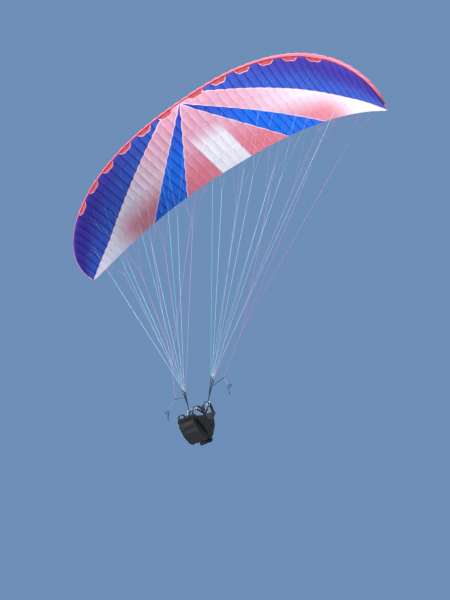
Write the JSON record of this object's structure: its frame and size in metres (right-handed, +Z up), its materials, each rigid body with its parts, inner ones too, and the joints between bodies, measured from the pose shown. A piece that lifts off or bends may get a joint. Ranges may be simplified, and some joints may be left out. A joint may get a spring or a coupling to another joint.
{
  "type": "paraglider",
  "caption": "Ram-air canopy with open cells on line rows, webbing risers, brake handles that slide and a seat harness that swings below its carabiners.",
  "frame": {"origin": "on the chord of the middle rib, 0.30 of the chord behind the nose, where the air carries the canopy", "axes": "+Z up, -Y forward along the flight direction, +X towards the pilot's left"},
  "size_m": [9.1842, 2.5912, 9.8797],
  "materials": {
    "top_cloth": "ripstop cloth, matt",
    "band_cloth": "ripstop cloth, matt",
    "centre_cloth": "ripstop cloth, matt",
    "stripe_cloth": "ripstop cloth, matt",
    "white_cloth": "ripstop cloth, matt",
    "outer_cloth": "ripstop cloth, matt",
    "rib_cloth": "stiffened cloth, matt",
    "aqua_line": "braided line",
    "white_line": "braided line",
    "pink_line": "braided line",
    "brake_line": "braided line",
    "webbing": "woven webbing",
    "harness_cloth": "woven pack cloth",
    "handle_cloth": "woven pack cloth, padded",
    "link_steel": "polished steel",
    "carabiner_metal": "satin",
    "pulley_plastic": "moulded, matt",
    "grip": "padded handle, matt",
    "buckle_steel": "brushed"
  },
  "bodies": {
    "wing": {"upper_skin": "top_cloth", "nose_band": "band_cloth", "lower_centre_panel": "centre_cloth", "ribs": "rib_cloth", "lower_stripe_left": "stripe_cloth", "lower_white_panel_left": "white_cloth", "lower_outer_panel_left": "outer_cloth", "lines_a_left": "aqua_line", "link_a_left": "link_steel", "lines_b_left": "white_line", "link_b_left": "link_steel", "lines_c_left": "pink_line", "link_c_left": "link_steel", "brake_fan_left": "brake_line", "riser_left": "webbing", "carabiner_left": "carabiner_metal", "brake_pulley_left": "pulley_plastic", "lower_stripe_right": "stripe_cloth", "lower_white_panel_right": "white_cloth", "lower_outer_panel_right": "outer_cloth", "lines_a_right": "aqua_line", "link_a_right": "link_steel", "lines_b_right": "white_line", "link_b_right": "link_steel", "lines_c_right": "pink_line", "link_c_right": "link_steel", "brake_fan_right": "brake_line", "riser_right": "webbing", "carabiner_right": "carabiner_metal", "brake_pulley_right": "pulley_plastic"},
    "brake_handle_left": {"toggle_left": "grip", "toggle_line_left": "brake_line"},
    "brake_handle_right": {"toggle_right": "grip", "toggle_line_right": "brake_line"},
    "harness": {"seat_pan": "harness_cloth", "under_seat_protector": "harness_cloth", "back_panel": "harness_cloth", "back_protector": "harness_cloth", "chest_strap": "webbing", "chest_buckle": "buckle_steel", "reserve_container": "harness_cloth", "reserve_handle": "handle_cloth", "side_panel_left": "harness_cloth", "main_webbing_left": "webbing", "shoulder_strap_left": "webbing", "leg_strap_left": "webbing", "side_panel_right": "harness_cloth", "main_webbing_right": "webbing", "shoulder_strap_right": "webbing", "leg_strap_right": "webbing"}
  },
  "joints": [
    {"name": "harness_swing", "type": "hinge", "parent": "wing", "child": "harness", "pos_m": [0, -0.278, -8.883], "axis": [1, 0, 0], "range_deg": [-35, 45]},
    {"name": "brake_pull_left", "type": "slide", "parent": "wing", "child": "brake_handle_left", "axis": [0.5071, -0.169, -0.8452], "range_m": [0, 0.4]},
    {"name": "brake_pull_right", "type": "slide", "parent": "wing", "child": "brake_handle_right", "axis": [-0.5071, -0.169, -0.8452], "range_m": [0, 0.4]}
  ]
}
